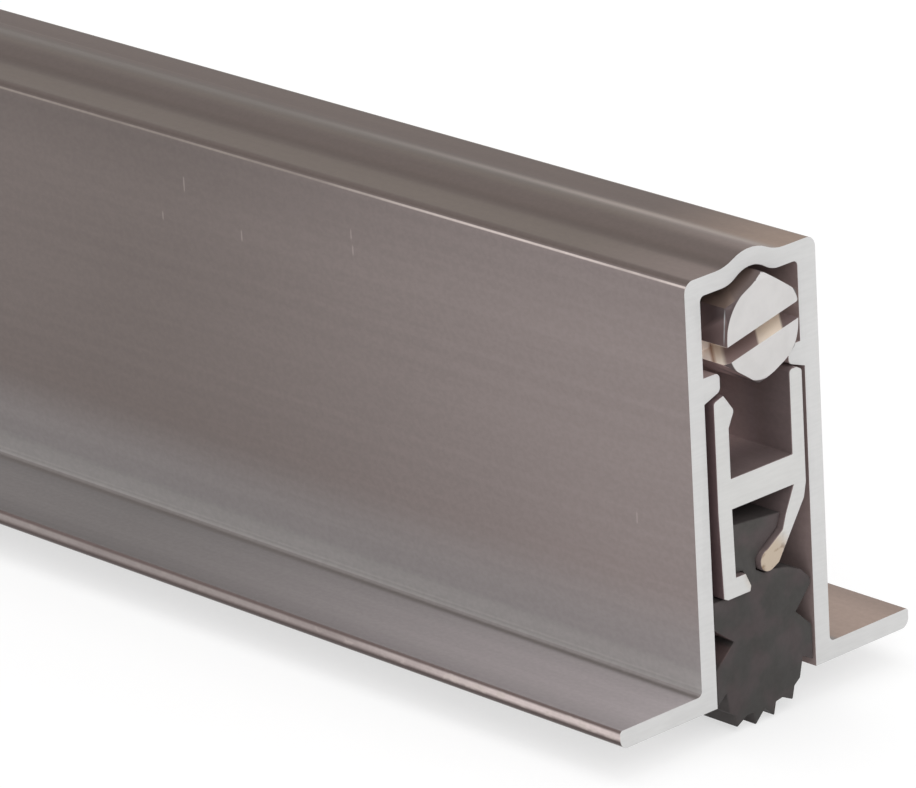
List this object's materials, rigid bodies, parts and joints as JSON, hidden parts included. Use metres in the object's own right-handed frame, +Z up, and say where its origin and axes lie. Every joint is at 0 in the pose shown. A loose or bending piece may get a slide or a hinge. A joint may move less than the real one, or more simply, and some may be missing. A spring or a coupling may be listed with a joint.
{
  "type": "automatic door bottom seal",
  "caption": "Semi-mortised automatic door bottom: an aluminium channel whose rod and flat springs press a rubber seal to the floor as the door shuts.",
  "frame": {"origin": "middle of the unit's length and width, on the upper faces of the flanges, which is the door's bottom edge and the middle of the flange screws", "axes": "+X along the unit towards the plunger end, +Z up into the door, Y across the door's thickness"},
  "size_m": [0.9155, 0.0286, 0.0348],
  "materials": {
    "housing_aluminium": "mill-finish extrusion with fine lines along its length",
    "bar_aluminium": "mill-finish extrusion, saw-cut ends",
    "seal_rubber": "matt black rubber",
    "screw_steel": "bright zinc plate",
    "rod_steel": "drawn bright steel",
    "pin_steel": "zinc-plated steel",
    "spring_steel": "blued spring steel strip",
    "block_zinc": "die-cast zinc, dull grey",
    "socket_brass": "turned brass",
    "bush_plastic": "black acetal"
  },
  "bodies": {
    "housing": {"housing": "housing_aluminium", "guide_bush": "bush_plastic", "anchor_block_1": "block_zinc", "anchor_block_2": "block_zinc", "anchor_pins_1": "pin_steel", "anchor_pins_2": "pin_steel", "fixed_end_rivet_1": "pin_steel", "fixed_end_rivet_2": "pin_steel"},
    "actuator": {"actuating_rod": "rod_steel", "threaded_socket": "socket_brass", "slider_block_1": "block_zinc", "slider_block_2": "block_zinc", "cross_pin_1": "pin_steel", "cross_pin_2": "pin_steel", "moving_end_rivet_1": "pin_steel", "moving_end_rivet_2": "pin_steel"},
    "adjuster": {"adjusting_screw": "screw_steel"},
    "drop_bar": {"drop_bar": "bar_aluminium", "seal_insert": "seal_rubber", "spring_saddle_1": "pin_steel", "spring_saddle_2": "pin_steel", "saddle_rivet_1": "pin_steel", "saddle_rivet_2": "pin_steel", "flat_spring_1": "spring_steel", "flat_spring_2": "spring_steel"}
  },
  "joints": [
    {"name": "seal_drop", "type": "slide", "parent": "housing", "child": "drop_bar", "axis": [0, 0, -1], "range_m": [0, 0.0095], "stiffness_N_per_m": 400, "springref_m": -0.01, "deforming": ["flat_spring_1", "flat_spring_2"]},
    {"name": "plunger_slide", "type": "slide", "parent": "housing", "child": "actuator", "axis": [-1, 0, 0], "range_m": [0, 0.005], "stiffness_N_per_m": 300, "springref_m": -0.01},
    {"name": "screw_turn", "type": "hinge", "parent": "actuator", "child": "adjuster", "pos_m": [0.4571, 0, 0.0253], "axis": [1, 0, 0], "continuous": true}
  ],
  "couplings": [
    {"joint": "plunger_slide", "follows": "seal_drop", "ratio": 0.526}
  ]
}
